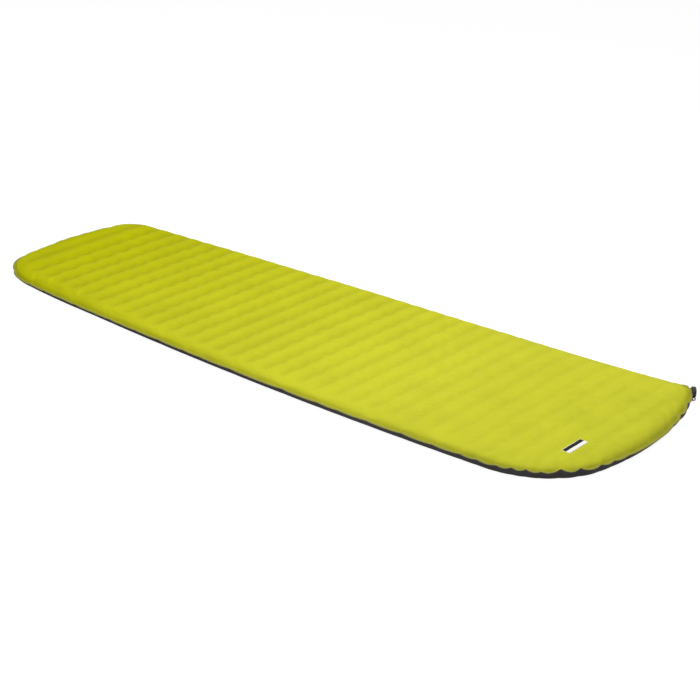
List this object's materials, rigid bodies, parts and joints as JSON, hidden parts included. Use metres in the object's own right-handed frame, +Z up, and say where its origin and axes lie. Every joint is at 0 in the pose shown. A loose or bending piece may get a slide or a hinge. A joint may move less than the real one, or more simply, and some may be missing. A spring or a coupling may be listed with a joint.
{
  "type": "self-inflating sleeping pad",
  "caption": "Tapered self-inflating sleeping pad with cross channels, a welded rim over a slotted foam core, a corner twist valve and a hanging eye.",
  "frame": {"origin": "middle of the pad's length on the floor plane", "axes": "+X from foot to head along the pad, +Y across it towards the valve's side, +Z up"},
  "size_m": [1.8244, 0.6964, 0.0355],
  "materials": {
    "top_cloth": "matt coated polyester",
    "bottom_cloth": "matt coated polyester",
    "foam": "open-cell polyurethane foam",
    "label_weave": "woven, blank",
    "valve_plastic": "moulded nylon",
    "inner_plastic": "moulded acetal",
    "knob_plastic": "moulded nylon",
    "seal_rubber": "silicone rubber",
    "clip_steel": "spring steel"
  },
  "bodies": {
    "pad": {"top_sheet": "top_cloth", "bottom_sheet": "bottom_cloth", "foam_core": "foam", "label": "label_weave", "valve_body": "valve_plastic", "stem_seal_ring": "seal_rubber", "foam_guard": "inner_plastic"},
    "plunger": {"plunger": "inner_plastic", "plunger_seal": "seal_rubber", "stop_clip": "clip_steel", "knob_clip": "clip_steel"},
    "knob": {"twist_knob": "knob_plastic"}
  },
  "joints": [
    {"name": "plunger_lift", "type": "slide", "parent": "pad", "child": "plunger", "axis": [0.7835, 0.6214, 0], "range_m": [0, 0.004]},
    {"name": "knob_twist", "type": "hinge", "parent": "plunger", "child": "knob", "pos_m": [0.84851, 0.33578, 0.022], "axis": [0.7835, 0.6214, 0], "range_deg": [0, 360]}
  ],
  "couplings": [
    {"joint": "knob_twist", "follows": "plunger_lift", "rad_per_m": 1570.8}
  ]
}
